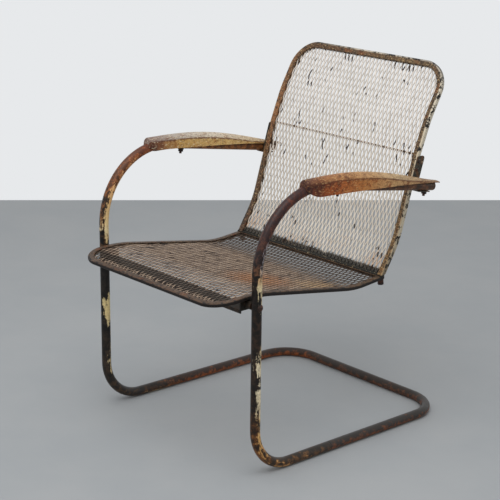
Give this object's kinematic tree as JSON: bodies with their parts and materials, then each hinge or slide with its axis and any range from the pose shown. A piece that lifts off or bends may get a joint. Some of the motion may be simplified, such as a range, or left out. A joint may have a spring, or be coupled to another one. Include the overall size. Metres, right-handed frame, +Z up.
{
  "type": "outdoor lounge chair",
  "caption": "Springy cantilever patio chair of bent steel tube, with a bent expanded-metal seat and back in folded rims and crowned sheet-metal arm covers.",
  "frame": {"origin": "on the floor, in the middle of the chair's overall box", "axes": "+Z up, -Y the way the sitter faces, +X the sitter's left"},
  "size_m": [0.5808, 0.735, 0.8579],
  "materials": {
    "frame_tube": "old brown, cream and black paint, worn through to rust",
    "arm_cover": "weathered cream and golden paint with rust along its creases",
    "seat_edge": "dark brown paint with rust",
    "seat_mesh": "dark paint with glints and patches of orange rust",
    "seat_fittings": "dark brown paint",
    "back_edge": "worn paint, dark outside and brown inside",
    "back_mesh": "chalky off-white paint with rust stains",
    "back_fittings": "rusty paint",
    "fasteners": "rusted"
  },
  "bodies": {
    "base": {"left_front_tube": "frame_tube", "right_front_tube": "frame_tube", "left_corner_tube": "frame_tube", "right_corner_tube": "frame_tube", "rear_cross_tube": "frame_tube"},
    "seat_unit": {"left_arm_cover": "arm_cover", "right_arm_cover": "arm_cover", "seat_rim": "seat_edge", "back_lower_rail": "seat_edge", "seat_mesh": "seat_mesh", "seat_crossbar": "seat_fittings", "left_leg_spacer": "seat_fittings", "right_leg_spacer": "seat_fittings", "back_rim": "back_edge", "back_mesh": "back_mesh", "back_stiffener_rod": "back_mesh", "left_back_bracket": "back_fittings", "right_back_bracket": "back_fittings", "arm_studs": "fasteners", "arm_washers": "fasteners", "arm_nuts": "fasteners", "leg_bolts": "fasteners", "leg_washers": "fasteners", "leg_nuts": "fasteners", "bracket_rivets": "fasteners", "corner_bolts": "fasteners", "corner_bushes": "fasteners"}
  },
  "joints": [
    {"name": "cantilever_flex", "type": "hinge", "parent": "base", "child": "seat_unit", "pos_m": [0, -0.2265, 0.06], "axis": [-1, 0, 0], "range_deg": [-1, 5], "stiffness_Nm_per_rad": 2200, "springref_deg": -0.74, "deforming": ["left_front_tube", "right_front_tube"]}
  ]
}
